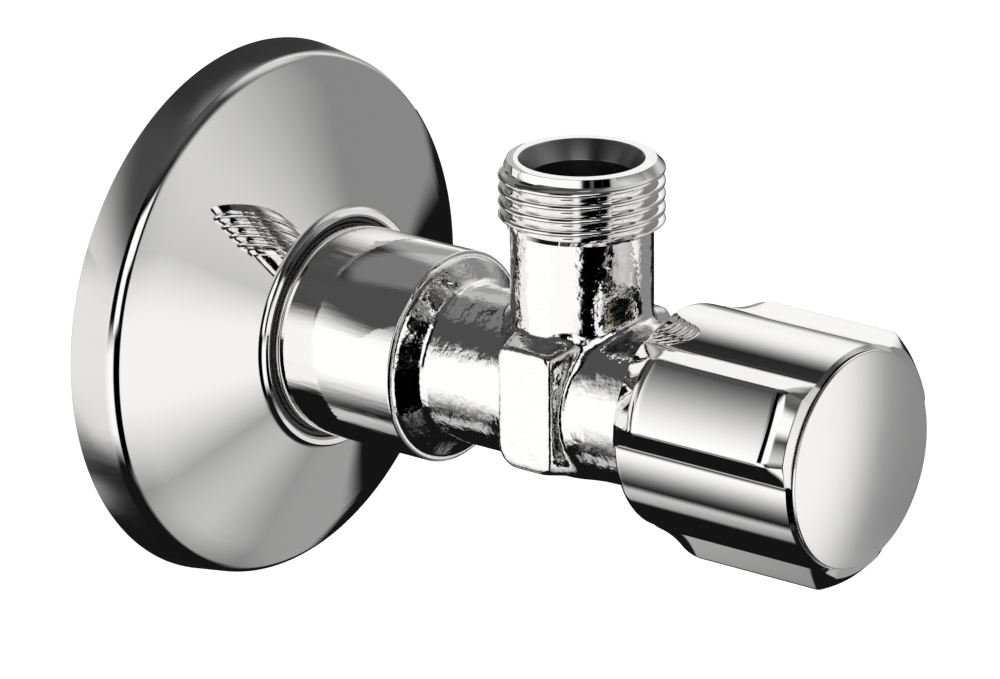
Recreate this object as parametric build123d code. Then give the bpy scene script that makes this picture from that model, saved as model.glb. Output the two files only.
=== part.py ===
from build123d import *
import math
import os

# Angle shut-off valve for under a sink: a chromed body screwed into the wall, a cover plate
# that slides on its shank, an upright outlet and a three-lobed handle in line with the inlet.
# Millimetres. The wall's surface is the plane Y = 0 and the valve stands out from it towards -Y.
# The inlet axis is the Y axis, and the outlet points up along +Z.
# "Out" below is the distance from the wall, so a point at out = 10 lies at Y = -10.

# Inlet thread and shank
inlet_thread_radius = 10.478
inlet_thread_pitch = 1.814
inlet_thread_depth = 1.162
inlet_thread_length = 13.0
inlet_chamfer = 1.0
inlet_bore_radius = 6.0
seal_groove_depth = 1.3
seal_groove_length = 2.0
seal_side_gap = 0.1
seal_ring_recess = 0.15
thread_crest_share = 0.2
shank_radius = 10.9
shank_end_out = 27.4
shank_edge_chamfer = 0.25

# Cast body
body_neck_radius = 8.15
shoulder_end_out = 29.0
outlet_axis_out = 43.5
body_waist_radius = 8.85
handle_neck_radius = 8.36
outlet_neck_radius = 7.17
outlet_root_fillet = 1.6
pad_reach = 10.0
pad_depth = 6.0
pad_width = 6.5
pad_past_outlet = 0.35
pad_bottom = -5.8
pad_top = 6.6
pad_corner_radius = 1.1
pad_low_corner_radius = 2.2
pad_draft_angle = 14.0
pad_edge_fillet = 0.35

# Outlet
outlet_thread_radius = 8.33
outlet_thread_pitch = 1.337
outlet_thread_depth = 0.856
outlet_thread_turns = 4
outlet_top = 24.23
outlet_chamfer = 0.85
outlet_thread_runout = 0.45
outlet_bore_radius = 5.15
outlet_bore_depth = 12.0
outlet_stop_radius = 4.2
outlet_cone_radius = 6.33
outlet_cone_depth = 1.9

# Seat, chamber and headwork socket in the body
seat_setback = 5.0
seat_bore_radius = 4.0
seat_land_width = 1.0
seat_height = 0.9
seat_throat_length = 2.5
inlet_cone_length = 3.0
chamber_radius = 6.6
chamber_past_outlet = 0.8
socket_radius = 7.0
body_end_past_outlet = 13.1
gasket_width = 0.55
gasket_seat_depth = 1.0

# Running and assembly clearances
running_gap = 0.05
thread_gap = 0.03
seal_gap = 0.04
ring_gap = 0.05

# Valve stroke, and the room that the plunger keeps at its open end
stroke = 4.0
plunger_end_gap = 0.1

# Seat washer, its plate and its screw
seat_washer_radius = 5.3
seat_washer_thickness = 2.5
seat_washer_recess = 1.0
washer_plate_radius = 3.2
washer_plate_thickness = 0.6
washer_screw_head_radius = 2.6
washer_screw_head_height = 1.2
washer_screw_radius = 1.45
washer_screw_grip = 3.0
screw_slot_width = 0.8
screw_slot_depth = 0.6

# Plunger
cup_radius = 6.0
cup_floor = 1.2
plunger_stem_radius = 5.1
plunger_round_length = 7.3
plunger_hex_flats = 8.8
plunger_hex_length = 6.0
plunger_o_ring_section = 1.5
plunger_o_ring_from_cup = 5.6
drive_radius = 2.9
drive_hole_floor = 0.9

# Headwork
sleeve_radius = 6.3
headwork_thread_length = 6.8
headwork_relief_depth = 0.45
headwork_hex_flats = 16.0
headwork_hex_length = 4.0
headwork_hex_chamfer = 0.9
headwork_front_radius = 6.0
bearing_length = 6.2

# Spindle
drive_end_gap = 0.35
collar_gap = 0.4
collar_radius = 4.2
collar_length = 1.6
thrust_washer_thickness = 0.5
spindle_radius = 3.3
spindle_o_ring_section = 0.96
spindle_o_ring_from_shoulder = 1.6
spindle_o_ring_spacing = 2.2
clip_thickness = 0.6
clip_slack = 0.1
clip_groove_depth = 0.55
clip_width = 1.6
clip_opening_angle = 60.0
spline_gap_from_clip = 0.5
spline_length = 4.2
spline_teeth = 16
spline_depth = 0.32

# Handle
knob_overlap = 0.46
knob_valley_radius = 11.32
knob_valley_chamfer = 0.4
knob_cavity_radius = 9.8
knob_hub_radius = 9.5
knob_shoulder_length = 1.2
knob_shoulder_radius = 8.6
lobe_count = 3
lobe_first_angle = 152.5
lobe_crown_height = 13.4
lobe_crown_width = 7.6
lobe_crown_rise = 0.27
lobe_root_width = 10.5
lobe_front_radius = 12.0
lobe_front_length = 1.8
lobe_back_radius = 11.4
lobe_back_length = 3.8

# Handle's hub, screw and cap
hub_clip_gap = 0.3
hub_disc_thickness = 1.2
hub_boss_radius = 5.0
hub_boss_recess = 0.9
hub_rim_thickness = 1.2
hub_rim_length = 5.0
hub_rib_count = 6
hub_rib_thickness = 1.1
hub_web_thickness = 1.5
hub_end_play = 0.2
knob_screw_radius = 2.0
knob_screw_length = 6.2
knob_screw_head_radius = 3.5
knob_screw_head_height = 1.5
knob_screw_hole_spare = 0.6
cap_screw_gap = 0.5
cap_radius = 10.9
cap_shadow_gap = 0.4
cap_edge_height = 0.5
cap_dome_height = 0.6
cap_edge_fillet = 0.2
cap_spigot_length = 1.3
cap_spigot_wall = 0.9

# Wall plate and its guide ring
plate_back_radius = 27.95
plate_front_radius = 27.4
plate_side_length = 4.0
plate_edge_radius = 1.5
plate_thickness = 0.8
plate_dome_start_angle = 25.0
plate_dome_end_angle = 25.0
plate_collar_out = 12.45
plate_collar_inner_radius = 11.45
plate_collar_height = 0.75
plate_collar_fillet = 0.7
guide_ring_front_gap = 0.35
guide_ring_flange_radius = 13.4
guide_ring_flange_thickness = 0.9

# Worked out from the sizes above
seal_groove_radius = inlet_thread_radius - seal_groove_depth
seat_out = outlet_axis_out - seat_setback
chamber_end_out = outlet_axis_out + outlet_stop_radius + chamber_past_outlet
body_end_out = outlet_axis_out + body_end_past_outlet
seat_land_radius = seat_bore_radius + seat_land_width
chamber_start_out = seat_out - seat_height
seat_throat_out = seat_out - seat_throat_length
gasket_radius = socket_radius + gasket_width
gasket_seat_out = body_end_out - gasket_seat_depth
cup_front_out = seat_out + seat_washer_thickness - seat_washer_recess
cup_back_out = cup_front_out + seat_washer_recess + cup_floor
stem_end_out = cup_back_out + plunger_round_length
plunger_end_out = stem_end_out + plunger_hex_length
sleeve_start_out = cup_back_out + stroke + plunger_end_gap
sleeve_bore_end_out = stem_end_out + stroke + plunger_end_gap
washer_plate_out = seat_out - washer_plate_thickness
washer_screw_end_out = seat_out + seat_washer_thickness + washer_screw_grip
drive_hole_out = washer_screw_end_out + drive_hole_floor
drive_start_out = drive_hole_out + stroke + drive_end_gap
collar_out = plunger_end_out + stroke + collar_gap
thrust_out = collar_out + collar_length
headwork_shoulder_out = thrust_out + thrust_washer_thickness
headwork_front_out = headwork_shoulder_out + bearing_length
headwork_hex_end_out = body_end_out + headwork_hex_length
clip_groove_end_out = headwork_front_out + clip_thickness + clip_slack
spline_start_out = clip_groove_end_out + spline_gap_from_clip
spindle_end_out = spline_start_out + spline_length
knob_back_out = body_end_out - knob_overlap
hub_back_out = clip_groove_end_out + hub_clip_gap
knob_shoulder_out = hub_back_out - knob_shoulder_length
hub_web_out = spindle_end_out + hub_end_play
hub_front_out = hub_web_out + hub_web_thickness
knob_front_out = hub_front_out + knob_screw_head_height + cap_screw_gap


def turned(*outline):
    """A solid turned about the inlet axis, from (radius, out) points."""
    loop = Polyline([(radius, -out) for radius, out in outline], close=True)
    return revolve(make_face(loop), Axis.Y, 360)


def turned_upright(*outline):
    """A solid turned about the outlet axis, from (radius, height) points."""
    loop = Polyline([(radius, 0, height) for radius, height in outline], close=True)
    solid = revolve(make_face(loop), Axis.Z, 360)
    return Pos(0, -outlet_axis_out, 0) * solid


def ring(inner_radius, outer_radius, start_out, end_out):
    """A plain ring or tube about the inlet axis."""
    return turned(
        (inner_radius, start_out), (outer_radius, start_out),
        (outer_radius, end_out), (inner_radius, end_out),
    )


def rod(radius, start_out, end_out):
    """A plain cylinder about the inlet axis."""
    return ring(0, radius, start_out, end_out)


def round_seal(middle_radius, section, out):
    """A ring of round section about the inlet axis."""
    return Pos(0, -out, 0) * Rot(90, 0, 0) * Torus(middle_radius, section / 2)


def prism(face, start_out, end_out):
    """A face drawn looking at the handle, X right and Z up, drawn out along the inlet axis."""
    plane = Plane(origin=(0, -start_out, 0), x_dir=(1, 0, 0), z_dir=(0, -1, 0))
    return extrude(plane * face, end_out - start_out)


def hexagon(flats):
    """A regular hexagon, given the distance between its flats."""
    return RegularPolygon(flats / 2, 6, major_radius=False)


def ridges(radius, depth, pitch, start, turns):
    """Outline points of a fine thread's ridges, as rings: crest, groove, crest and so on."""
    crest = thread_crest_share * pitch
    points = []
    for turn in range(turns):
        base = start + turn * pitch
        points += [
            (radius, base), (radius, base + crest),
            (radius - depth, base + (pitch + crest) / 2),
        ]
    end = start + turns * pitch
    return points + [(radius, end), (radius, end + crest)]


def body_outside():
    """The inlet thread, the turned shank and the cast neck, in one round form."""
    crest = thread_crest_share * inlet_thread_pitch
    full_wall = inlet_thread_length - inlet_chamfer - crest
    turns = int(full_wall // inlet_thread_pitch)
    outline = [
        (handle_neck_radius, body_end_out),
        (0, body_end_out),
        (0, -inlet_thread_length),
        (inlet_thread_radius - inlet_chamfer, -inlet_thread_length),
        (inlet_thread_radius, inlet_chamfer - inlet_thread_length),
        *ridges(inlet_thread_radius, inlet_thread_depth, inlet_thread_pitch,
                -crest - turns * inlet_thread_pitch, turns),
        (seal_groove_radius, 0),
        (seal_groove_radius, seal_groove_length),
        (shank_radius, seal_groove_length),
        (shank_radius, shank_end_out - shank_edge_chamfer),
        (shank_radius - shank_edge_chamfer, shank_end_out),
        (body_neck_radius, shoulder_end_out),
    ]
    turned_edges = Polyline([(radius, -out) for radius, out in outline])
    # The cast neck swells gently where the outlet stands on it.
    neck = Spline(
        (body_neck_radius, -shoulder_end_out),
        (body_neck_radius, -(outlet_axis_out - outlet_neck_radius)),
        (body_waist_radius, -outlet_axis_out),
        (handle_neck_radius, -(outlet_axis_out + outlet_neck_radius)),
        (handle_neck_radius, -body_end_out),
        tangents=[(0, -1), (0, -1)],
    )
    return revolve(make_face([*turned_edges.edges(), neck.edge()]), Axis.Y, 360)


def outlet_outside():
    """The upright outlet: plain neck, thread ridges and the chamfered rim."""
    crest = thread_crest_share * outlet_thread_pitch
    thread_top = outlet_top - outlet_chamfer
    thread_bottom = thread_top - crest - outlet_thread_turns * outlet_thread_pitch
    return turned_upright(
        (0, 0),
        (outlet_neck_radius, 0),
        (outlet_neck_radius, thread_bottom - outlet_thread_runout),
        *ridges(outlet_thread_radius, outlet_thread_depth, outlet_thread_pitch,
                thread_bottom, outlet_thread_turns),
        (outlet_thread_radius - outlet_chamfer, outlet_top),
        (0, outlet_top),
    )


def side_pad():
    """The flat pad cast on the body's -X side, widening with its draft towards the body."""
    height = pad_top - pad_bottom
    face = Rectangle(pad_width, height)
    corners = face.vertices().sort_by(Axis.Y)
    low = corners[:2].sort_by(Axis.X)
    face = fillet([low[0]], pad_low_corner_radius)
    rest = [
        corner for corner in face.vertices().sort_by(Axis.Y)
        if corner.Y > 0 or corner.X > pad_width / 2 - pad_corner_radius
    ]
    face = fillet(rest, pad_corner_radius)
    # Local X runs out along the inlet axis and local Y up, seen from the -X side.
    plane = Plane(
        origin=(-pad_reach, -(outlet_axis_out + pad_past_outlet), (pad_top + pad_bottom) / 2),
        x_dir=(0, -1, 0),
        z_dir=(-1, 0, 0),
    )
    pad = extrude(plane * face, -pad_depth, taper=-pad_draft_angle)
    outer_face = pad.faces().sort_by(Axis.X)[0]
    return fillet(outer_face.edges(), pad_edge_fillet)


def valve_body():
    """The one-piece body: inlet, neck, pads and outlet outside, waterway and socket inside."""
    run = body_outside()
    outlet = outlet_outside()
    joined = run + outlet
    joined = fillet(new_edges(run, outlet, combined=joined), outlet_root_fillet)
    pad = side_pad()
    joined += [pad, mirror(pad, Plane.YZ)]
    waterway = turned(
        (0, -inlet_thread_length),
        (inlet_bore_radius, -inlet_thread_length),
        (inlet_bore_radius, seat_throat_out - inlet_cone_length),
        (seat_bore_radius, seat_throat_out),
        (seat_bore_radius, seat_out),
        (seat_land_radius, seat_out),
        (seat_land_radius, chamber_start_out),
        (chamber_radius, chamber_start_out),
        (chamber_radius, chamber_end_out),
        (socket_radius, chamber_end_out),
        (socket_radius, gasket_seat_out),
        (gasket_radius, gasket_seat_out),
        (gasket_radius, body_end_out),
        (0, body_end_out),
    )
    outlet_way = turned_upright(
        (0, 0),
        (outlet_stop_radius, 0),
        (outlet_stop_radius, outlet_top - outlet_bore_depth),
        (outlet_bore_radius, outlet_top - outlet_bore_depth),
        (outlet_bore_radius, outlet_top - outlet_cone_depth),
        (outlet_cone_radius, outlet_top),
        (0, outlet_top),
    )
    return joined - waterway - outlet_way


def inlet_seal_ring():
    """The sealing ring in the groove between the inlet thread and the shank."""
    return ring(
        seal_groove_radius + seal_gap, shank_radius - seal_ring_recess,
        seal_side_gap, seal_groove_length - seal_side_gap,
    )


def seat_washer():
    """The rubber disc that closes on the seat, with the hole for its screw."""
    return ring(
        washer_screw_radius + seal_gap, seat_washer_radius,
        seat_out, seat_out + seat_washer_thickness,
    )


def seat_washer_plate():
    """The flat metal washer in front of the rubber disc."""
    return ring(
        washer_screw_radius + seal_gap, washer_plate_radius, washer_plate_out, seat_out,
    )


def seat_washer_screw():
    """The slotted screw that clamps the rubber disc to the plunger."""
    head_out = washer_plate_out - washer_screw_head_height
    screw = rod(washer_screw_head_radius, head_out, washer_plate_out)
    screw += rod(washer_screw_radius, washer_plate_out, washer_screw_end_out)
    slot = Rectangle(2 * washer_screw_head_radius, screw_slot_width)
    return screw - prism(slot, head_out, head_out + screw_slot_depth)


def plunger():
    """The slide: washer cup, round stem with its ring groove, hexagonal tail and drive thread."""
    groove_radius = plunger_stem_radius - plunger_o_ring_section + thread_gap
    groove_out = cup_back_out + plunger_o_ring_from_cup - plunger_o_ring_section / 2 - ring_gap
    groove_end_out = groove_out + plunger_o_ring_section + 2 * ring_gap
    front = turned(
        (0, cup_front_out),
        (cup_radius, cup_front_out),
        (cup_radius, cup_back_out),
        (plunger_stem_radius, cup_back_out),
        (plunger_stem_radius, groove_out),
        (groove_radius, groove_out),
        (groove_radius, groove_end_out),
        (plunger_stem_radius, groove_end_out),
        (plunger_stem_radius, stem_end_out),
        (0, stem_end_out),
    )
    tail = prism(hexagon(plunger_hex_flats), stem_end_out, plunger_end_out)
    washer_end_out = seat_out + seat_washer_thickness
    return (
        front + tail
        - rod(seat_washer_radius + running_gap, cup_front_out, washer_end_out)
        - rod(washer_screw_radius + thread_gap, washer_end_out, washer_screw_end_out)
        - rod(drive_radius + running_gap, drive_hole_out, plunger_end_out)
    )


def plunger_o_ring():
    """The ring that keeps water out of the drive thread."""
    middle = plunger_stem_radius - plunger_o_ring_section / 2 + thread_gap
    return round_seal(
        middle, plunger_o_ring_section - thread_gap, cup_back_out + plunger_o_ring_from_cup,
    )


def headwork_body():
    """The screwed-in insert: sleeve, thread, spanner hexagon and the spindle's bearing."""
    relief_radius = socket_radius - headwork_relief_depth
    thread_end_out = chamber_end_out + headwork_thread_length
    turned_part = turned(
        (0, sleeve_start_out),
        (sleeve_radius, sleeve_start_out),
        (sleeve_radius, chamber_end_out),
        (socket_radius - thread_gap, chamber_end_out),
        (socket_radius - thread_gap, thread_end_out),
        (relief_radius, thread_end_out),
        (relief_radius, body_end_out),
        (headwork_front_radius, body_end_out),
        (headwork_front_radius, headwork_front_out),
        (0, headwork_front_out),
    )
    across_corners = headwork_hex_flats / math.cos(math.pi / 6)
    corner_radius = across_corners / 2
    rounded = turned(
        (0, body_end_out),
        (corner_radius - headwork_hex_chamfer, body_end_out),
        (corner_radius, body_end_out + headwork_hex_chamfer / 2),
        (corner_radius, headwork_hex_end_out - headwork_hex_chamfer / 2),
        (corner_radius - headwork_hex_chamfer, headwork_hex_end_out),
        (0, headwork_hex_end_out),
    )
    spanner = prism(hexagon(headwork_hex_flats), body_end_out, headwork_hex_end_out) & rounded
    guide_flats = plunger_hex_flats + 2 * running_gap
    return (
        turned_part + spanner
        - rod(plunger_stem_radius + 2 * running_gap, sleeve_start_out, sleeve_bore_end_out)
        - prism(hexagon(guide_flats), sleeve_bore_end_out, headwork_shoulder_out)
        - rod(spindle_radius + running_gap, headwork_shoulder_out, headwork_front_out)
    )


def headwork_gasket():
    """The flat ring clamped between the headwork's hexagon and the body."""
    return ring(socket_radius + seal_gap, gasket_radius - seal_gap, gasket_seat_out, body_end_out)


def spline(radius):
    """The toothed outline of the spindle's end, to the given crest radius."""
    corners = []
    for step in range(2 * spline_teeth):
        reach = radius if step % 2 == 0 else radius - spline_depth
        angle = math.pi * step / spline_teeth
        corners.append((reach * math.cos(angle), reach * math.sin(angle)))
    return make_face(Polyline(corners, close=True))


def spindle_o_ring_outs():
    """Where the two rings sit on the spindle."""
    first = headwork_shoulder_out + spindle_o_ring_from_shoulder
    return [first, first + spindle_o_ring_spacing]


def spindle():
    """The spindle: drive screw, collar, ring grooves, clip groove and splined end."""
    clip_groove_radius = spindle_radius - clip_groove_depth
    solid = turned(
        (0, drive_start_out),
        (drive_radius, drive_start_out),
        (drive_radius, collar_out),
        (collar_radius, collar_out),
        (collar_radius, thrust_out),
        (spindle_radius, thrust_out),
        (spindle_radius, headwork_front_out),
        (clip_groove_radius, headwork_front_out),
        (clip_groove_radius, clip_groove_end_out),
        (spindle_radius, clip_groove_end_out),
        (spindle_radius, spline_start_out),
        (0, spline_start_out),
    )
    solid += prism(spline(spindle_radius), spline_start_out, spindle_end_out)
    groove_half = spindle_o_ring_section / 2 + ring_gap
    for out in spindle_o_ring_outs():
        solid -= ring(
            spindle_radius - spindle_o_ring_section, spindle_radius + running_gap,
            out - groove_half, out + groove_half,
        )
    hole_start_out = hub_front_out - knob_screw_length - hub_web_thickness - knob_screw_hole_spare
    return solid - rod(knob_screw_radius + thread_gap, hole_start_out, spindle_end_out)


def spindle_o_ring(out):
    """One of the rings on the spindle, centred at the given distance from the wall."""
    section = spindle_o_ring_section - thread_gap
    return round_seal(spindle_radius - section / 2, section, out)


def thrust_washer():
    """The slide washer between the spindle's collar and the headwork."""
    return ring(spindle_radius + running_gap, collar_radius, thrust_out, headwork_shoulder_out)


def spindle_clip():
    """The spring clip in the spindle's groove, open on one side."""
    inner = spindle_radius - clip_groove_depth + thread_gap
    clip = ring(inner, inner + clip_width, headwork_front_out, headwork_front_out + clip_thickness)
    reach = inner + 2 * clip_width
    half = math.radians(clip_opening_angle / 2)
    edge = (reach, reach * math.tan(half))
    opening = make_face(Polyline([(0, 0), edge, (reach, -edge[1])], close=True))
    return clip - prism(opening, headwork_front_out, headwork_front_out + clip_thickness)


def lobe():
    """One grip lobe pointing along +X before it is turned: leaning flanks, a faintly round crown."""
    corner = (lobe_crown_height - lobe_crown_rise, lobe_crown_width / 2)
    root_half = lobe_root_width / 2
    root = (math.sqrt(knob_valley_radius ** 2 - root_half ** 2), root_half)
    crown = ThreePointArc(corner, (lobe_crown_height, 0), (corner[0], -corner[1]))
    sides = Polyline(
        corner, root, (0, root_half), (0, -root_half), (root[0], -root_half),
        (corner[0], -corner[1]),
    )
    return make_face([crown.edge(), *sides.edges()])


def knob_shell():
    """The handle's shell: a round barrel with three lobes, chamfered at both ends."""
    corner_radius = math.hypot(lobe_crown_height - lobe_crown_rise, lobe_crown_width / 2)
    envelope = turned(
        (0, knob_back_out),
        (lobe_back_radius, knob_back_out),
        (corner_radius, knob_back_out + lobe_back_length),
        (corner_radius, knob_front_out - lobe_front_length),
        (lobe_front_radius, knob_front_out),
        (0, knob_front_out),
    )
    barrel = turned(
        (0, knob_back_out),
        (knob_valley_radius, knob_back_out),
        (knob_valley_radius, knob_front_out - knob_valley_chamfer),
        (knob_valley_radius - knob_valley_chamfer, knob_front_out),
        (0, knob_front_out),
    )
    lobes = [
        prism(Rot(0, 0, lobe_first_angle + turn * 360 / lobe_count) * lobe(),
              knob_back_out, knob_front_out) & envelope
        for turn in range(lobe_count)
    ]
    cavity = turned(
        (0, knob_back_out),
        (knob_cavity_radius, knob_back_out),
        (knob_cavity_radius, knob_shoulder_out),
        (knob_shoulder_radius, knob_shoulder_out),
        (knob_shoulder_radius, hub_back_out),
        (knob_hub_radius, hub_back_out),
        (knob_hub_radius, knob_front_out),
        (0, knob_front_out),
    )
    return barrel + lobes - cavity


def knob_hub():
    """The moulded insert: back disc, rim, ribs and the splined boss that grips the spindle."""
    outer = knob_hub_radius - thread_gap
    rim_end_out = hub_back_out + hub_rim_length
    hub = rod(outer, hub_back_out, hub_back_out + hub_disc_thickness)
    hub += ring(outer - hub_rim_thickness, outer, hub_back_out, rim_end_out)
    hub += rod(hub_boss_radius, hub_back_out, hub_front_out)
    rib = Pos((outer + hub_boss_radius) / 2 - hub_rim_thickness / 2, 0) * Rectangle(
        outer - hub_boss_radius, hub_rib_thickness
    )
    for turn in range(hub_rib_count):
        hub += prism(Rot(0, 0, turn * 360 / hub_rib_count) * rib, hub_back_out, rim_end_out)
    clip_reach = spindle_radius - clip_groove_depth + clip_width + 2 * ring_gap
    return (
        hub
        - rod(clip_reach, hub_back_out, hub_back_out + hub_boss_recess)
        - prism(spline(spindle_radius + running_gap), hub_back_out, hub_web_out)
        - rod(knob_screw_radius + ring_gap, hub_web_out, hub_front_out)
    )


def knob_screw():
    """The cross-slotted screw that holds the handle on the spindle."""
    start_out = hub_front_out - hub_web_thickness - knob_screw_length
    head_end_out = hub_front_out + knob_screw_head_height
    screw = rod(knob_screw_radius, start_out, hub_front_out)
    screw += rod(knob_screw_head_radius, hub_front_out, head_end_out)
    slot = Rectangle(knob_screw_head_radius, screw_slot_width)
    for angle in (0, 90):
        screw -= prism(Rot(0, 0, angle) * slot, head_end_out - screw_slot_depth, head_end_out)
    return screw


def knob_cap():
    """The domed disc in the handle's front, with the ring that presses into the shell."""
    disc_out = knob_front_out + cap_shadow_gap
    edge_out = disc_out + cap_edge_height
    crown_out = edge_out + cap_dome_height
    # The crown's arc is drawn across the whole disc, and the half on one side is turned.
    crown = ThreePointArc((-cap_radius, -edge_out), (0, -crown_out), (cap_radius, -edge_out))
    half = split(crown, Plane.YZ)
    sides = Polyline(
        (0, -crown_out), (0, -disc_out), (cap_radius, -disc_out), (cap_radius, -edge_out),
    )
    section = make_face([half.edge(), *sides.edges()])
    rim = section.vertices().sort_by(Axis.X)[-2:].sort_by(Axis.Y)[0]
    disc = revolve(fillet(rim, cap_edge_fillet), Axis.Y, 360)
    spigot_radius = knob_hub_radius - thread_gap
    return disc + ring(
        spigot_radius - cap_spigot_wall, spigot_radius,
        knob_front_out - cap_spigot_length, disc_out,
    )


def plate_foot_out():
    """How far out the dome ends and the collar's flare begins."""
    return plate_collar_out - plate_collar_height


def plate_line(inset):
    """The plate's outer surface in (radius, -out) from the wall to the collar, moved inwards."""
    start = math.radians(plate_dome_start_angle)
    end = math.radians(plate_dome_end_angle)
    lean = math.hypot(plate_back_radius - plate_front_radius, plate_side_length)
    up_side = ((plate_front_radius - plate_back_radius) / lean, -plate_side_length / lean)
    up_dome = (-math.cos(start), -math.sin(start))
    off_dome = (-math.cos(end), -math.sin(end))
    up_collar = (0, -1)
    face_radius = plate_front_radius - plate_edge_radius * (1 - math.sin(start))
    face_out = plate_side_length + plate_edge_radius * math.cos(start)
    collar_radius = plate_collar_inner_radius + plate_thickness
    joints = [
        (plate_front_radius, plate_side_length, up_side),
        (face_radius, face_out, up_dome),
        (collar_radius + plate_collar_fillet, plate_foot_out(), off_dome),
        (collar_radius, plate_collar_out - plate_thickness / 2, up_collar),
    ]
    points = [
        (radius + inset * way[1], -out - inset * way[0]) for radius, out, way in joints
    ]
    ways = [way for radius, out, way in joints]
    return [
        Line((plate_back_radius - inset, 0), points[0]),
        Spline(points[0], points[1], tangents=ways[0:2]),
        Spline(points[1], points[2], tangents=ways[1:3]),
        Spline(points[2], points[3], tangents=ways[2:4]),
    ]


def wall_plate():
    """The pressed plate: side wall, rounded edge, domed face and the collar round its hole."""
    outside = plate_line(0)
    inside = plate_line(plate_thickness)
    crest_radius = plate_collar_inner_radius + plate_thickness / 2
    crest = ThreePointArc(outside[-1] @ 1, (crest_radius, -plate_collar_out), inside[-1] @ 1)
    foot = Line(outside[0] @ 0, inside[0] @ 0)
    lines = [*outside, crest, *inside, foot]
    return revolve(make_face([line.edge() for line in lines]), Axis.Y, 360)


def plate_guide_ring():
    """The dark ring in the plate's hole that runs on the shank, flanged behind the plate."""
    end = math.radians(plate_dome_end_angle)
    foot_radius = plate_collar_inner_radius + plate_thickness + plate_collar_fillet
    plate_back_out = (
        plate_foot_out()
        - (guide_ring_flange_radius - foot_radius) * math.tan(end)
        - plate_thickness / math.cos(end)
    )
    flange_front_out = plate_back_out - ring_gap
    flange_back_out = flange_front_out - guide_ring_flange_thickness
    inner = shank_radius + running_gap
    outer = plate_collar_inner_radius - seal_gap
    return turned(
        (inner, flange_back_out),
        (guide_ring_flange_radius, flange_back_out),
        (guide_ring_flange_radius, flange_front_out),
        (outer, flange_front_out),
        (outer, plate_collar_out - guide_ring_front_gap),
        (inner, plate_collar_out - guide_ring_front_gap),
    )


rear_ring_out, front_ring_out = spindle_o_ring_outs()
pieces = {
    "valve_body": valve_body(),
    "inlet_seal_ring": inlet_seal_ring(),
    "wall_plate": wall_plate(),
    "plate_guide_ring": plate_guide_ring(),
    "headwork_body": headwork_body(),
    "headwork_gasket": headwork_gasket(),
    "plunger": plunger(),
    "plunger_o_ring": plunger_o_ring(),
    "seat_washer": seat_washer(),
    "seat_washer_plate": seat_washer_plate(),
    "seat_washer_screw": seat_washer_screw(),
    "spindle": spindle(),
    "spindle_o_ring_rear": spindle_o_ring(rear_ring_out),
    "spindle_o_ring_front": spindle_o_ring(front_ring_out),
    "thrust_washer": thrust_washer(),
    "spindle_clip": spindle_clip(),
    "knob_shell": knob_shell(),
    "knob_hub": knob_hub(),
    "knob_screw": knob_screw(),
    "knob_cap": knob_cap(),
}

os.makedirs("parts", exist_ok=True)
for name, piece in pieces.items():
    export_step(piece, f"parts/{name}.step")
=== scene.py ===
import math
from types import SimpleNamespace

import bmesh
import bpy
from mathutils import Matrix, Vector


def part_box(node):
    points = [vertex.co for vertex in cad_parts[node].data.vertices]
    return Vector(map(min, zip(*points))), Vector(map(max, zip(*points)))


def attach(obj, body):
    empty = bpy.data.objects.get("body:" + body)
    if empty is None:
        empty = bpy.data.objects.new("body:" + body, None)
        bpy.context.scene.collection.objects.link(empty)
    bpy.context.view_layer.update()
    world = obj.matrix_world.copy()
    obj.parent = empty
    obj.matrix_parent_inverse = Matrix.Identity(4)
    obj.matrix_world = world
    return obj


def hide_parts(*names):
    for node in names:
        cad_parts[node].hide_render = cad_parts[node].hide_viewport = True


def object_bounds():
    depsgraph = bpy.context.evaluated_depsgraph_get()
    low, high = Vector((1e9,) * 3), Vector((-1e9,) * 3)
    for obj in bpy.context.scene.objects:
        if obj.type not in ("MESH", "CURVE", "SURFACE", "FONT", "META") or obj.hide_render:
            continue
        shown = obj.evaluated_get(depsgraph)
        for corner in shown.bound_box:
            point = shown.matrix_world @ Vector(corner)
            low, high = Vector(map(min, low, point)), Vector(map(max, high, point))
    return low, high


bl_info = {
    "name": "Sink shut-off valve",
    "version": (1, 0, 0),
    "blender": (4, 5, 0),
    "location": "3D View > Sidebar > Valve",
    "description": "Builds a chromed angle valve with its cover plate, handle and studio",
    "category": "Object",
}

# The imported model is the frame: metres, the wall's surface at Y = 0, the valve towards -Y,
# the outlet along +Z. "Out" is the distance from the wall, and outlines are in millimetres.
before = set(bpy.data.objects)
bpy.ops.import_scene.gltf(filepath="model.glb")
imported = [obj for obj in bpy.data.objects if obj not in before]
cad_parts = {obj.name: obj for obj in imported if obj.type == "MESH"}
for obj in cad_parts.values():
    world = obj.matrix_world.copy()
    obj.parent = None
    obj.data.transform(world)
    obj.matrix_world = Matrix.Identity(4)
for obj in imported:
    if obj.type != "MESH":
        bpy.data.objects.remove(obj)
cad_low, cad_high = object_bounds()

MM = 0.001
FINE_STEPS = 288
FORM_STEPS = 160
CUTTER_STEPS = 96
WELD_DISTANCE = 0.001
SHARP_ANGLE = math.radians(32)


# Sizes and colours

def length(name, description, millimetres):
    """A size that shows in the sidebar, given in millimetres."""
    return bpy.props.FloatProperty(
        name=name, description=description, default=millimetres * MM, unit="LENGTH",
        precision=5,
    )


def colour(name, description, rgb):
    """A colour that shows in the sidebar."""
    return bpy.props.FloatVectorProperty(
        name=name, description=description, default=rgb, subtype="COLOR", min=0, max=1,
    )


def share(name, description, value, top=1.0):
    """A plain number from nothing to a top value."""
    return bpy.props.FloatProperty(
        name=name, description=description, default=value, min=0, max=top, precision=3,
    )


def in_mm(group):
    """The lengths of a property group as plain millimetres."""
    return SimpleNamespace(**{key: getattr(group, key) / MM for key in group.__annotations__})


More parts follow.
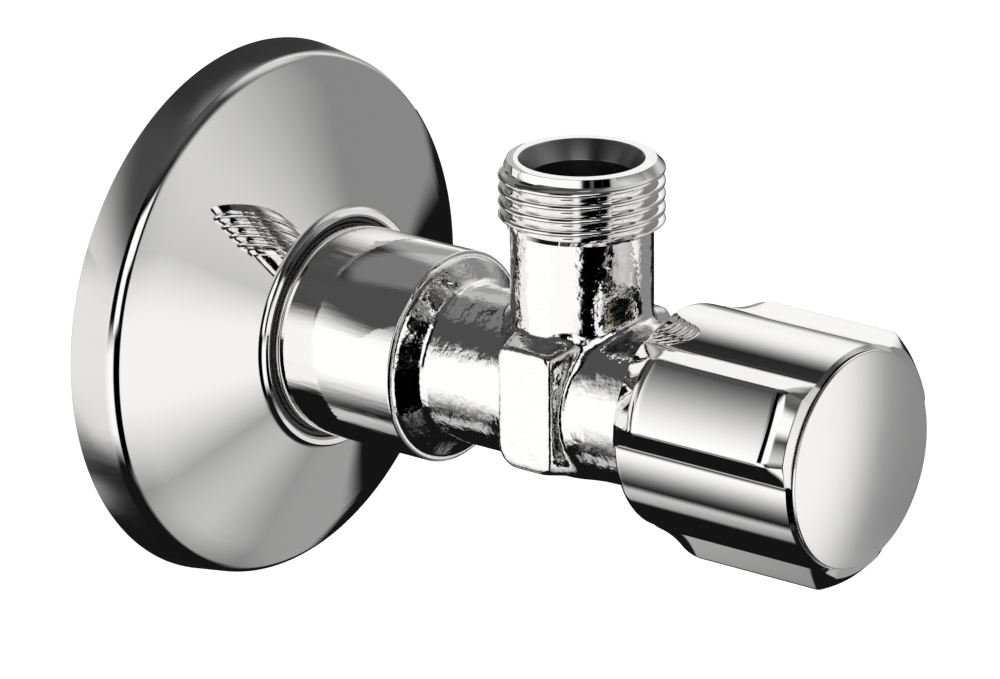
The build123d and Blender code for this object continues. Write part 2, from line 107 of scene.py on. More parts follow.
class BodySizes(bpy.types.PropertyGroup):
    """Sizes of the one-piece body."""
    thread_radius: length("Inlet thread radius", "Crest radius of the inlet thread", 10.478)
    thread_pitch: length("Inlet thread pitch", "Rise of the inlet thread in one turn", 1.814)
    thread_depth: length("Inlet thread depth", "Depth of the inlet thread", 1.162)
    thread_end: length("Inlet thread length", "How far the inlet reaches into the wall", 13.0)
    bore_radius: length("Inlet bore radius", "Radius of the waterway in the inlet", 6.0)
    groove_radius: length(
        "Seal groove radius", "Bottom of the groove for the sealing ring", 9.178)
    groove_front: length("Seal groove front", "Distance from the wall to that groove's front", 2)
    shank_radius: length("Shank radius", "Radius of the turned shank", 10.9)
    shank_end: length("Shank end", "Distance from the wall to the shank's front edge", 27.4)
    neck_start: length("Neck start", "Distance from the wall to the foot of the shoulder", 29.0)
    neck_radius: length("Neck radius", "Radius of the cast neck behind the outlet", 8.15)
    waist_radius: length("Waist radius", "Radius of the cast body under the outlet", 8.85)
    handle_neck: length("Handle neck radius", "Radius of the cast body behind the handle", 8.36)
    body_end: length("Body end", "Distance from the wall to the body's front face", 56.6)
    outlet_out: length("Outlet distance", "Distance from the wall to the outlet's axis", 43.5)
    outlet_neck: length("Outlet neck radius", "Radius of the plain neck of the outlet", 7.17)
    outlet_crest: length("Outlet thread radius", "Crest radius of the outlet thread", 8.33)
    outlet_pitch: length("Outlet thread pitch", "Rise of the outlet thread in one turn", 1.337)
    outlet_depth: length("Outlet thread depth", "Depth of the outlet thread", 0.856)
    outlet_top: length("Outlet top", "Height of the outlet's rim above the inlet axis", 24.23)
    outlet_length: length("Outlet thread length", "Length of the outlet's threaded end", 6.93)
    outlet_chamfer: length("Outlet chamfer", "Size of the chamfer round the rim", 0.85)
    outlet_bore: length("Outlet bore radius", "Radius of the pipe bore in the outlet", 5.15)
    pipe_depth: length("Pipe depth", "How far a pipe goes into the outlet", 12.0)
    seat_radius: length("Seat radius", "Radius of the outlet's cone seat at the rim", 6.33)
    seat_depth: length("Seat depth", "Depth of the outlet's cone seat", 1.9)
    slide_bore: length("Slide washer bore", "Inner radius of the spindle's slide washer", 3.4)
    pad_reach: length("Pad reach", "Distance of the flat pads from the middle plane", 10.0)
    pad_width: length("Pad width", "Width of a pad's flat face", 6.5)
    pad_bottom: length("Pad bottom", "Height of a pad's lower edge", -5.8)
    pad_top: length("Pad top", "Height of a pad's upper edge", 6.6)


class CoverSizes(bpy.types.PropertyGroup):
    """Sizes of the cover plate on the wall."""
    back_radius: length("Back radius", "Radius of the plate at the wall", 27.95)
    edge_radius: length("Edge radius", "Radius where side wall and face would meet", 27.26)
    edge_out: length("Edge distance", "Distance from the wall to that edge", 5.0)
    bend_radius: length("Bend radius", "Where the face begins to fall more steeply", 24.0)
    bend_out: length("Bend distance", "Distance from the wall to that bend", 6.62)
    bend_round: length("Bend rounding", "Wide rounding of that bend", 36.0)
    face_foot: length("Face foot", "Distance from the wall to the face beside the collar", 12.02)
    edge_round: length("Edge rounding", "Rounding between side wall and face", 1.6)
    collar_out: length("Collar distance", "Distance from the wall to the collar's crest", 12.45)
    collar_radius: length("Collar radius", "Inner radius of the collar", 11.45)
    collar_round: length("Collar rounding", "Rounding of the collar's crest", 0.38)
    thickness: length("Sheet thickness", "Thickness of the pressed sheet", 0.8)


class HandleSizes(bpy.types.PropertyGroup):
    """Sizes of the handle."""
    back: length("Back", "Distance from the wall to the handle's back", 56.14)
    front: length("Front", "Distance from the wall to the shell's front", 77.55)
    lip: length("Lip", "Fall of the shell's front from its inner to its outer edge", 0.35)
    lip_radius: length("Lip radius", "Inner radius of that sloping front", 11.0)
    valley: length("Valley radius", "Radius of the shell between its lobes", 11.32)
    crown: length("Crown height", "Distance from the axis to the middle of a lobe", 13.4)
    crown_rise: length("Crown rise", "How much a lobe's middle stands above its edges", 0.27)
    crown_width: length("Crown width", "Width of a lobe's face", 7.6)
    root_width: length("Root width", "Width of a lobe where it meets the barrel", 10.5)
    front_radius: length("Front radius", "Where the lobes' chamfer meets the front", 12.0)
    front_length: length("Front chamfer", "Length of the lobes' front chamfer", 1.8)
    back_radius: length("Back radius", "Where the lobes' chamfer meets the back", 11.4)
    back_length: length("Back chamfer", "Length of the lobes' back chamfer", 3.8)
    cavity: length("Cavity radius", "Radius of the hollow behind the hub", 9.8)
    hub: length("Hub radius", "Radius of the bore that holds the hub", 9.5)
    cap_radius: length("Cap radius", "Radius of the disc in the handle's front", 10.9)
    cap_gap: length("Cap gap", "Shadow gap between the shell and the disc", 0.15)
    cap_edge: length("Cap edge", "Height of the disc's edge", 0.3)
    cap_dome: length("Cap dome", "Rise of the disc's middle", 0.8)


class Finishes(bpy.types.PropertyGroup):
    """Colours and gloss of the surfaces."""
    chrome: colour("Chrome", "Colour of the plating", (0.90, 0.89, 0.885))
    # The darker colour of the plate's side wall is painted shade.
    dull_chrome: colour("Dull chrome", "Colour of the plate's side wall", (0.70, 0.69, 0.685))
    # The darker colour inside the outlet's bore is painted shade.
    thin_chrome: colour("Thin chrome", "Colour of the outlet's inside", (0.30, 0.30, 0.30))
    chrome_gloss: share("Chrome roughness", "Roughness of the polished plating", 0.02)
    cast_gloss: share("Casting roughness", "Roughness of the plated casting", 0.05)
    orange_peel: share("Casting ripple", "Strength of the casting's uneven skin", 0.5)
    satin: colour("Satin", "Colour of the satin plating", (0.92, 0.91, 0.905))
    satin_gloss: share("Satin roughness", "Roughness of the satin plating", 0.16)
    brass: colour("Brass", "Colour of the unplated brass", (0.46, 0.42, 0.35))
    steel: colour("Steel", "Colour of the clip and the screws", (0.56, 0.56, 0.57))
    dark_plastic: colour("Dark plastic", "Colour of the guide ring", (0.035, 0.035, 0.037))
    white_plastic: colour("White plastic", "Colour of slide washer and hub", (0.82, 0.82, 0.79))
    rubber: colour("Rubber", "Colour of the rubber seals", (0.022, 0.022, 0.023))
    fibre: colour("Fibre", "Colour of the fibre gasket", (0.42, 0.11, 0.07))


class StudioSettings(bpy.types.PropertyGroup):
    """Camera, floor and light."""
    target: bpy.props.FloatVectorProperty(
        name="Target", description="Point the camera looks at", subtype="TRANSLATION",
        unit="LENGTH", default=(-0.315 * MM, -33.233 * MM, 3.122 * MM),
    )
    azimuth: bpy.props.FloatProperty(
        name="Azimuth", description="Camera's turn round the valve",
        default=math.radians(-51.159), subtype="ANGLE",
    )
    elevation: bpy.props.FloatProperty(
        name="Elevation", description="Camera's height as an angle", default=math.radians(18.892),
        subtype="ANGLE",
    )
    roll: bpy.props.FloatProperty(
        name="Roll", description="Camera's tilt", default=math.radians(-0.418), subtype="ANGLE",
    )
    distance: length("Distance", "From the camera to the point it looks at", 783.832)
    lens: bpy.props.FloatProperty(
        name="Lens", description="Focal length in millimetres on a 36 mm wide sensor",
        default=280.99, min=1,
    )
    floor_drop: length("Floor drop", "How far the floor lies below the plate's lowest point", 380)
    floor: colour("Floor", "Colour of the floor", (0.93, 0.93, 0.92))
    room_light: share("Room light", "Brightness of the ceiling between the panels", 0.08, 5)
    box_light: share("Panel light", "Brightness of the light panels", 1.0, 20)
    floor_light: share("Floor light", "Brightness of the floor's own light", 0.95, 5)
    card_light: share("Card light", "Brightness of the dark card behind the plate", 0.07, 5)
    card_top: share("Card top", "How much brighter the card is at its upper edge", 0.17, 5)
    card_foot: share("Card foot", "How much brighter the card is at its lower edge", 0.9, 5)
    card_side: share("Card side", "How much brighter the card is at its right side", 0.33, 5)


# Shader nodes

class Socket:
    """A number in a shader. Sums of sockets add the Math nodes that work them out."""

    def __init__(self, graph, output):
        self.graph = graph
        self.output = output

    def _math(self, operation, *values):
        return self.graph.add("Math", {"operation": operation}, dict(enumerate(values)))

    def __add__(self, other):
        return self._math("ADD", self, other)

    def __radd__(self, other):
        return self._math("ADD", other, self)

    def __sub__(self, other):
        return self._math("SUBTRACT", self, other)

    def __rsub__(self, other):
        return self._math("SUBTRACT", other, self)

    def __mul__(self, other):
        return self._math("MULTIPLY", self, other)

    def __rmul__(self, other):
        return self._math("MULTIPLY", other, self)

    def __abs__(self):
        return self._math("ABSOLUTE", self)

    def larger(self, other):
        """The larger of this and another number."""
        return self._math("MAXIMUM", self, other)

    def root(self):
        """The square root of this number."""
        return self._math("SQRT", self)

    def arctan2(self, other):
        """The angle in radians of a point this far up and that far along."""
        return self._math("ARCTAN2", self, other)

    def arcsine(self):
        """The angle in radians whose sine this is."""
        return self._math("ARCSINE", self)

    def wrapped(self, low, high):
        """This number brought between two others by whole turns."""
        return self._math("WRAP", self, high, low)


class Graph:
    """A node tree that is filled through one method."""

    def __init__(self, tree):
        self.tree = tree
        tree.nodes.clear()

    def add(self, kind, settings=None, values=None, output=0):
        """Adds a node: its type, its settings, then the values or links of its sockets."""
        node = self.tree.nodes.new("ShaderNode" + kind)
        for name, value in (settings or {}).items():
            setattr(node, name, value)
        for name, value in (values or {}).items():
            if isinstance(value, Socket):
                self.tree.links.new(value.output, node.inputs[name])
            else:
                node.inputs[name].default_value = value
        if not node.outputs:
            return node
        return Socket(self, node.outputs[output])

    def place(self, space="Object"):
        """The three coordinates of a point, which Generated makes a direction in the room."""
        where = self.add("TexCoord", output=space)
        split = self.add("SeparateXYZ", values={"Vector": where})
        return [Socket(self, output) for output in split.output.node.outputs]

    def noise(self, scale, detail=2.0, stretch=(1, 1, 1)):
        """Noise on the piece's own coordinates, which may be stretched along an axis."""
        place = self.add("TexCoord", output="Object")
        place = self.add("Mapping", values={"Vector": place, "Scale": stretch})
        return self.add("TexNoise", values={"Vector": place, "Scale": scale, "Detail": detail})

    def step(self, value, low, high):
        """A smooth step of a number from 0 at low to 1 at high."""
        return self.add("MapRange", {"interpolation_type": "SMOOTHSTEP"}, {
            "Value": value, "From Min": low, "From Max": high, "To Min": 0.0, "To Max": 1.0,
        })

    def mix(self, factor, first, second, clamp=True):
        """A colour between two others."""
        return self.add("Mix", {"data_type": "RGBA", "clamp_factor": clamp}, {
            0: factor, 6: shaded(first), 7: shaded(second)}, 2)

    def bump(self, height, strength, distance):
        """The surface's direction over small bumps."""
        return self.add("Bump", values={
            "Strength": strength, "Distance": distance, "Height": height})


def new_material(name):
    """An empty node material and its graph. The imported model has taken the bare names."""
    material = bpy.data.materials.new(name + "_look")
    material.use_nodes = True
    return material, Graph(material.node_tree)


def finish_material(graph, material, **sockets):
    """Ends a material in one shader."""
    values = {name.replace("_", " "): value for name, value in sockets.items()}
    shader = graph.add("BsdfPrincipled", values=values)
    graph.add("OutputMaterial", values={"Surface": shader})
    return material


def shaded(rgb):
    """A colour socket's value."""
    return (*rgb, 1.0)


def polished_chrome(look):
    """Bright plating on pressed and moulded pieces: clear reflections, hardly any ripple."""
    material, graph = new_material("polished_chrome")
    ripple = graph.noise(70, 1.0)
    pits = graph.noise(1500, 3.0)
    haze = graph.step(graph.noise(260, 4.0), 0.55, 0.8)
    return finish_material(
        graph, material, Base_Color=shaded(look.chrome), Metallic=1.0,
        Roughness=look.chrome_gloss + haze * 0.015,
        Normal=graph.bump(ripple + pits * 0.012, 0.10, 0.0004),
    )


def pressed_chrome(look):
    """Bright plating of the cover plate, whose side wall has a brushed, rougher finish and a
    darker colour painted on as shade.
    """
    material, graph = new_material("pressed_chrome")
    _, depth, _ = graph.place()
    face_begins, wall_ends = -0.0047, -0.0040
    # The side wall's mask: there the colour darkens as painted shade, and the finish is brushed
    # and rougher.
    wall = graph.step(depth, face_begins, wall_ends)
    brushed = graph.noise(1700, 2.0, stretch=(1.0, 0.08, 1.0))
    ripple = graph.noise(60, 1.0)
    return finish_material(
        graph, material, Base_Color=graph.mix(wall, look.chrome, look.dull_chrome), Metallic=1.0,
        Roughness=look.chrome_gloss + wall * (brushed * 0.12 + 0.10),
        Normal=graph.bump(ripple + wall * brushed * 0.03, 0.10, 0.0003),
    )


def outlet_chrome(look):
    """Bright plating on the outlet's thread and rim; inside its bore the plating is rougher and
    its colour darker, as painted shade.
    """
    material, graph = new_material("outlet_chrome")
    size = bpy.context.scene.valve_body
    across, depth, _ = graph.place()
    along = depth + size.outlet_out
    from_axis = (across * across + along * along).root()
    # The bore's mask: inside it the colour darkens as painted shade, and the plating grows
    # rougher.
    inside = graph.step(from_axis, size.seat_radius, size.seat_radius - 0.1 * MM)
    haze = graph.step(graph.noise(260, 4.0), 0.55, 0.8)
    return finish_material(
        graph, material, Base_Color=graph.mix(inside, look.chrome, look.thin_chrome),
        Metallic=1.0, Roughness=look.chrome_gloss + haze * 0.015 + inside * 0.26,
        Normal=graph.bump(graph.noise(70, 1.0), 0.10, 0.0004),
    )


def turned_chrome(look):
    """Plating on the turned shank, over the fine oblique marks that polishing leaves."""
    material, graph = new_material("turned_chrome")
    streaks = graph.noise(420, 3.0, stretch=(1.0, 0.16, 1.0))
    fine = graph.noise(2600, 2.0, stretch=(1.0, 0.1, 1.0))
    return finish_material(
        graph, material, Base_Color=shaded(look.chrome), Metallic=1.0,
        Roughness=look.chrome_gloss + 0.05 * graph.step(streaks, 0.45, 0.75),
        Normal=graph.bump(streaks + fine * 0.3, 0.16, 0.0002),
    )


def plated_casting(look):
    """Plating over the forging's skin: broad waves, orange peel and fine pits."""
    material, graph = new_material("plated_casting")
    waves = graph.noise(190, 2.0)
    peel = graph.noise(900, 2.0)
    pits = graph.step(graph.noise(2400, 3.0), 0.58, 0.72)
    return finish_material(
        graph, material, Base_Color=shaded(look.chrome), Metallic=1.0,
        Roughness=look.cast_gloss + 0.06 * graph.step(peel, 0.5, 0.72),
        Normal=graph.bump(waves + peel * look.orange_peel - pits * 0.012, 1.0, 0.00016),
    )


def satin_chrome(look):
    """Satin plating of the handle's disc: a fine even grain that spreads its reflections."""
    material, graph = new_material("satin_chrome")
    grain = graph.noise(5200, 2.0)
    cloud = graph.noise(160, 3.0)
    return finish_material(
        graph, material, Base_Color=shaded(look.satin), Metallic=1.0,
        Roughness=look.satin_gloss + cloud * 0.06, Normal=graph.bump(grain, 0.03, 0.0001),
    )


def bare_metal(name, rgb, rough, marks_scale):
    """Unplated metal with cutting marks and a little tarnish."""
    material, graph = new_material(name)
    marks = graph.noise(marks_scale, 3.0, stretch=(1.0, 9.0, 1.0))
    tarnish = graph.step(graph.noise(380, 4.0), 0.4, 0.75)
    dull = tuple(channel * 0.72 for channel in rgb)
    return finish_material(
        graph, material, Base_Color=graph.mix(tarnish, rgb, dull), Metallic=1.0,
        Roughness=rough + tarnish * 0.12, Normal=graph.bump(marks, 0.2, 0.0001),
    )


def moulded(name, rgb, rough, grain_scale):
    """Moulded plastic, rubber or pressed fibre, with a fine grain and slightly uneven tone."""
    material, graph = new_material(name)
    grain = graph.noise(grain_scale, 4.0)
    patches = graph.noise(420, 3.0)
    pale = tuple(min(1.0, channel * 1.35 + 0.01) for channel in rgb)
    return finish_material(
        graph, material, Base_Color=graph.mix(patches, rgb, pale),
        Roughness=rough + patches * 0.12, Normal=graph.bump(grain, 0.25, 0.0001),
    )


def material_for(slot):
    """The material of a finish, made when it is first asked for."""
    made = bpy.data.materials.get(slot + "_look")
    if made:
        return made
    look = bpy.context.scene.valve_finishes
    plated = {
        maker.__name__: maker for maker in (
            polished_chrome, pressed_chrome, outlet_chrome, turned_chrome, plated_casting,
            satin_chrome)
    }
    if slot in plated:
        return plated[slot](look)
    maker, *values = {
        "plain_brass": (bare_metal, look.brass, 0.24, 900),
        "spring_steel": (bare_metal, look.steel, 0.2, 1400),
        "screw_steel": (bare_metal, look.steel, 0.28, 1100),
        "dark_plastic": (moulded, look.dark_plastic, 0.3, 2600),
        "white_plastic": (moulded, look.white_plastic, 0.35, 2200),
        "black_rubber": (moulded, look.rubber, 0.5, 1800),
        "fibre_gasket": (moulded, look.fibre, 0.7, 3200),
    }[slot]
    return maker(slot, *values)


# Mesh building

def bevel(bm, geom, offset, segments, affect="EDGES"):
    """Rounds edges or corners."""
    bmesh.ops.bevel(
        bm, geom=geom, offset=offset, offset_type="OFFSET", segments=segments, profile=0.5,
        affect=affect, material=-1,
    )


def outline(bm, points, closed=True):
    """A chain of edges through (radius, out) points. A third number rounds the corner."""
    verts = [bm.verts.new((point[0], -point[1], 0)) for point in points]
    for first, second in zip(verts, verts[1:]):
        bm.edges.new((first, second))
    if closed:
        bm.edges.new((verts[-1], verts[0]))
    for vert, point in zip(verts, points):
        if len(point) == 2:
            continue
        ways = [(edge.other_vert(vert).co - vert.co).normalized() for edge in vert.link_edges]
        bevel(bm, [vert], point[2] / math.tan(ways[0].angle(ways[1]) / 2), 7, "VERTICES")
    return bm


def spun(points, closed=True, steps=FINE_STEPS):
    """An outline turned about the inlet axis into a mesh, in millimetres."""
    bm = outline(bmesh.new(), points, closed)
    bmesh.ops.spin(
        bm, geom=bm.verts[:] + bm.edges[:], cent=(0, 0, 0), axis=(0, 1, 0),
        angle=2 * math.pi, steps=steps, use_merge=True, use_duplicate=False,
    )
    bmesh.ops.remove_doubles(bm, verts=bm.verts, dist=WELD_DISTANCE)
    bmesh.ops.recalc_face_normals(bm, faces=bm.faces)
    return bm


def stand_up(bm, size):
    """Turns a form made about the inlet axis so that it stands on the outlet's axis."""
    bmesh.ops.rotate(
        bm, verts=bm.verts, cent=(0, 0, 0), matrix=Matrix.Rotation(math.radians(90), 3, "X"),
    )
    bmesh.ops.translate(bm, verts=bm.verts, vec=(0, -size.outlet_out, 0))


def steps_between(start, end, spacing):
    """Evenly spaced numbers from start to end, about the spacing apart, both ends included."""
    count = max(1, round(abs(end - start) / spacing))
    return [start + (end - start) * index / count for index in range(count + 1)]


def cut_thread(bm, angle, crest, depth, pitch, start, end, phase):
    """Draws the surface between start and end inwards along a right-hand helix.

    At angle 0, a crest of the thread lies at phase."""
    for vert in bm.verts:
        along = vert.co.y
        reach = math.hypot(vert.co.x, vert.co.z)
        if not start < along < end or reach < crest - depth:
            continue
        turn = (along - phase) / pitch - angle(vert.co) / (2 * math.pi)
        wave = 0.5 - 0.5 * math.cos(2 * math.pi * turn)
        limit = crest - depth * wave ** 1.5
        if reach > limit:
            vert.co.x *= limit / reach
            vert.co.z *= limit / reach


def piece(name, bm, body, slot, replaced, sharp=SHARP_ANGLE, finish=None):
    """Finishes a mesh as a piece: scaled to metres, smooth, with its material and its body.

    The material is the slot's own, unless another finish is named."""
    bmesh.ops.scale(bm, verts=bm.verts, vec=(MM, MM, MM))
    mesh = bpy.data.meshes.new(name)
    bm.to_mesh(mesh)
    bm.free()
    mesh.shade_smooth()
    mesh.set_sharp_from_angle(angle=sharp)
    mesh.materials.append(material_for(finish or slot))
    made = bpy.data.objects.new(name, mesh)
    bpy.context.scene.collection.objects.link(made)
    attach(made, body)
    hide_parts(*replaced)
    return made


class MakesPiece:
    """What every operator here shares."""
    bl_options = {"REGISTER", "UNDO"}


# Body

class VALVE_OT_inlet(MakesPiece, bpy.types.Operator):
    """Make the threaded inlet and the turned shank"""
    bl_idname = "valve.inlet"
    bl_label = "Inlet and Shank"

    def execute(self, context):
        size = in_mm(context.scene.valve_body)
        thread = [
            (size.thread_radius, out)
            for out in steps_between(1.0 - size.thread_end, -0.05, size.thread_pitch / 12)
        ]
        bm = spun([
            (size.bore_radius, -size.thread_end, 0.4),
            (size.thread_radius - 1.0, -size.thread_end),
            *thread,
            (size.groove_radius, -0.05, 0.15),
            (size.groove_radius, size.groove_front, 0.15),
            (size.shank_radius, size.groove_front, 0.12),
            (size.shank_radius, size.shank_end - 0.2, 0.2),
            (size.shank_radius - 0.3, size.shank_end, 0.08),
            (size.bore_radius, size.shank_end),
        ])
        cut_thread(
            bm, lambda co: math.atan2(co.x, co.z), size.thread_radius, size.thread_depth,
            size.thread_pitch, 0.06, size.thread_end - 0.02, 0.0,
        )
        piece("inlet_shank", bm, "body", "polished_chrome", ["valve_body"],
              finish="turned_chrome")
        return {"FINISHED"}


class VALVE_OT_casting(MakesPiece, bpy.types.Operator):
    """Make the cast body: shoulder, neck, side pads and outlet neck, with the bores inside"""
    bl_idname = "valve.casting"
    bl_label = "Cast Body"

    voxel: bpy.props.FloatProperty(
        name="Voxel", description="Fineness of the joined skin", default=0.24 * MM, unit="LENGTH",
        precision=5,
    )

    def run(self, size):
        """The round run of the casting, from its shoulder on, swelling under the outlet."""
        # Each step: which part of the swelling is reached, and how far out.
        swell = [
            (size.neck_radius + (size.waist_radius - size.neck_radius) * part, out)
            for part, out in ((0.0, 35.6), (0.1, 37.4), (0.5, 39.6), (0.9, 41.8), (1.0, 43.5))
        ]
        fall = [
            (size.handle_neck + (size.waist_radius - size.handle_neck) * part, out)
            for part, out in ((1.0, 44.8), (0.85, 45.8), (0.4, 47.4), (0.1, 48.9), (0.0, 50.4))
        ]
        return spun([
            (0, size.shank_end - 0.8),
            (size.shank_radius - 0.45, size.shank_end - 0.8),
            (size.shank_radius - 0.45, size.shank_end + 0.1),
            (size.neck_radius, size.neck_start + 0.5),
            *swell,
            *fall,
            (size.handle_neck, size.body_end),
            (0, size.body_end),
        ], closed=False, steps=FORM_STEPS)

    def neck(self, size):
        """The plain neck of the outlet, up to where its thread begins."""
        top = size.outlet_top - size.outlet_length + 0.4
        bm = spun([
            (0, 0), (size.outlet_neck, 0), (size.outlet_neck, -top), (0, -top),
        ], closed=False, steps=FORM_STEPS)
        stand_up(bm, size)
        return bm

    def pad(self, size, side):
        """One flat pad, widening with its draft towards the body."""
        depth, draft = 6.0, 3.0
        height = size.pad_top - size.pad_bottom
        middle = (size.pad_top + size.pad_bottom) / 2
        out = size.outlet_out + 0.35
        bm = bmesh.new()
        bmesh.ops.create_cube(bm, size=1.0)
        bmesh.ops.scale(bm, verts=bm.verts, vec=(depth, size.pad_width, height))
        root = [vert for vert in bm.verts if vert.co.x < 0]
        widened = (1, 1 + draft / size.pad_width, 1 + draft / height)
        bmesh.ops.scale(bm, verts=root, vec=widened)
        # The lower corner on the wall's side is rounder than the other three.
        for radius, low_corner in ((2.2, True), (1.1, False)):
            corners = [
                edge for edge in bm.edges
                if abs(edge.verts[0].co.x - edge.verts[1].co.x) > depth / 2
                and all((vert.co.y > 0 and vert.co.z < 0) == low_corner for vert in edge.verts)
            ]
            bevel(bm, corners, radius, 8)
        face = max(bm.faces, key=lambda face: face.calc_center_median().x)
        bevel(bm, list(face.edges), 0.4, 4)
        bmesh.ops.translate(bm, verts=bm.verts, vec=(size.pad_reach - depth / 2, -out, middle))
        if side < 0:
            bmesh.ops.scale(bm, verts=bm.verts, vec=(-1, 1, 1))
            bmesh.ops.reverse_faces(bm, faces=bm.faces)
        return bm

    def bores(self, size):
        """What is cut away: waterway, valve chamber and headwork socket, and the outlet's way."""
        loose, start = size.bore_radius + 0.3, size.shank_end - 1.4
        throat, seat, chamber, socket, flange = 4.0, 5.0, 6.6, 7.0, 7.55
        taper_start, taper_end, seat_foot, seat_rim = 33.0, 36.0, 37.6, 38.5
        chamber_end, socket_end, flange_end = 48.5, 55.6, 57.5
        along = spun([
            (0, start), (loose, start), (loose, size.shank_end),
            (size.bore_radius, size.shank_end), (size.bore_radius, taper_start),
            (throat, taper_end), (throat, seat_rim), (seat, seat_rim), (seat, seat_foot),
            (chamber, seat_foot), (chamber, chamber_end), (socket, chamber_end),
            (socket, socket_end), (flange, socket_end), (flange, flange_end), (0, flange_end),
        ], closed=False, steps=CUTTER_STEPS)
        way, step, end = 4.2, size.outlet_top - size.pipe_depth, 19.0
        upright = spun([
            (0, 0), (way, 0), (way, -step), (size.outlet_bore, -step),
            (size.outlet_bore, -end), (0, -end),
        ], closed=False, steps=CUTTER_STEPS)
        stand_up(upright, size)
        return along, upright

    def as_object(self, name, *forms):
        """A scratch object that holds the given forms, in metres."""
        mesh = bpy.data.meshes.new(name)
        whole = bmesh.new()
        for bm in forms:
            bmesh.ops.scale(bm, verts=bm.verts, vec=(MM, MM, MM))
            bm.to_mesh(mesh)
            bm.free()
            whole.from_mesh(mesh)
        whole.to_mesh(mesh)
        whole.free()
        made = bpy.data.objects.new(name, mesh)
        bpy.context.scene.collection.objects.link(made)
        return made

    def evaluated(self, made):
        """The mesh of an object with its modifiers, in millimetres."""
        graph = bpy.context.evaluated_depsgraph_get()
        mesh = bpy.data.meshes.new_from_object(made.evaluated_get(graph))
        bm = bmesh.new()
        bm.from_mesh(mesh)
        bpy.data.meshes.remove(mesh)
        bmesh.ops.scale(bm, verts=bm.verts, vec=(1 / MM, 1 / MM, 1 / MM))
        return bm

    def soften(self, bm, size):
        """Evens the skin, and fills the corner where the outlet stands on the run."""
        fillet, skin_top = 1.5, 16.0
        near, skin = [], []
        for vert in bm.verts:
            along = -vert.co.y - size.outlet_out
            off_neck = math.hypot(vert.co.x, along) - size.outlet_neck
            off_run = math.hypot(vert.co.x, vert.co.z) - size.waist_radius
            if vert.co.z > 2 and max(abs(off_neck), abs(off_run)) < fillet:
                near.append(vert)
            if vert.co.z < skin_top:
                skin.append(vert)
        for rounds, verts in ((3, skin), (30, near), (2, skin)):
            for _ in range(rounds):
                bmesh.ops.smooth_vert(
                    bm, verts=verts, factor=0.5, use_axis_x=True, use_axis_y=True,
                    use_axis_z=True,
                )

    def execute(self, context):
        size = in_mm(context.scene.valve_body)
        solid = self.as_object(
            "casting_form", self.run(size), self.neck(size), self.pad(size, 1),
            self.pad(size, -1),
        )
        remesh = solid.modifiers.new("Join", "REMESH")
        remesh.mode = "VOXEL"
        remesh.voxel_size = self.voxel
        remesh.adaptivity = 0
        skin = self.evaluated(solid)
        self.soften(skin, size)
        body = self.as_object("casting_skin", skin)
        cutters = [self.as_object(f"casting_bore_{index}", bm)
                   for index, bm in enumerate(self.bores(size))]
        for cutter in cutters:
            cut = body.modifiers.new(cutter.name, "BOOLEAN")
            cut.operation = "DIFFERENCE"
            cut.solver = "EXACT"
            cut.object = cutter
        bm = self.evaluated(body)
        for scratch in (solid, body, *cutters):
            bpy.data.objects.remove(scratch)
        piece("cast_body", bm, "body", "plated_casting", ["valve_body"], math.radians(38))
        return {"FINISHED"}


class VALVE_OT_outlet(MakesPiece, bpy.types.Operator):
    """Make the outlet's thread, its rim, cone seat and pipe bore"""
    bl_idname = "valve.outlet"
    bl_label = "Outlet Thread"

    def execute(self, context):
        size = in_mm(context.scene.valve_body)
        start = size.outlet_top - size.outlet_length
        # On the side of +X, a crest of the thread lies this high above the inlet axis.
        crest_height = 22.022
        thread = [
            (size.outlet_crest, -height) for height in steps_between(
                start + 0.55, size.outlet_top - size.outlet_chamfer, size.outlet_pitch / 14)
        ]
        bm = spun([
            (size.outlet_neck - 0.1, -start),
            (size.outlet_crest - size.outlet_depth, -start),
            *thread,
            (size.outlet_crest - size.outlet_chamfer, -size.outlet_top, 0.12),
            (size.seat_radius, -size.outlet_top, 0.1),
            (size.outlet_bore, size.seat_depth - size.outlet_top, 0.15),
            (size.outlet_bore, -start),
        ])
        cut_thread(
            bm, lambda co: math.atan2(-co.z, co.x), size.outlet_crest, size.outlet_depth,
            size.outlet_pitch, start + 0.02, size.outlet_top - 0.02, crest_height,
        )
        stand_up(bm, size)
        piece("outlet_thread", bm, "body", "polished_chrome", ["valve_body"],
              finish="outlet_chrome")
        return {"FINISHED"}


# Cover plate and rings

class VALVE_OT_cover(MakesPiece, bpy.types.Operator):
    """Make the pressed cover plate with its collar"""
    bl_idname = "valve.cover"
    bl_label = "Cover Plate"

    def execute(self, context):
        size = in_mm(context.scene.valve_cover)
        wall, crest = size.thickness, size.collar_round
        collar = size.collar_radius + wall
        face_slope = math.radians(25)
        under = wall / math.cos(face_slope)
        bm = spun([
            (size.back_radius, 0, 0.12),
            (size.edge_radius, size.edge_out, size.edge_round),
            (size.bend_radius, size.bend_out, size.bend_round),
            (collar, size.face_foot, 0.9),
            (collar, size.collar_out, crest),
            (size.collar_radius, size.collar_out, crest),
            (size.collar_radius, size.face_foot - under + 0.25, 0.3),
            (size.bend_radius, size.bend_out - under),
            (size.edge_radius - wall, size.edge_out - under + 0.35, size.edge_round - 0.6),
            (size.back_radius - wall, 0, 0.12),
        ])
        piece("cover_plate", bm, "cover", "polished_chrome", ["wall_plate"],
              finish="pressed_chrome")
        return {"FINISHED"}


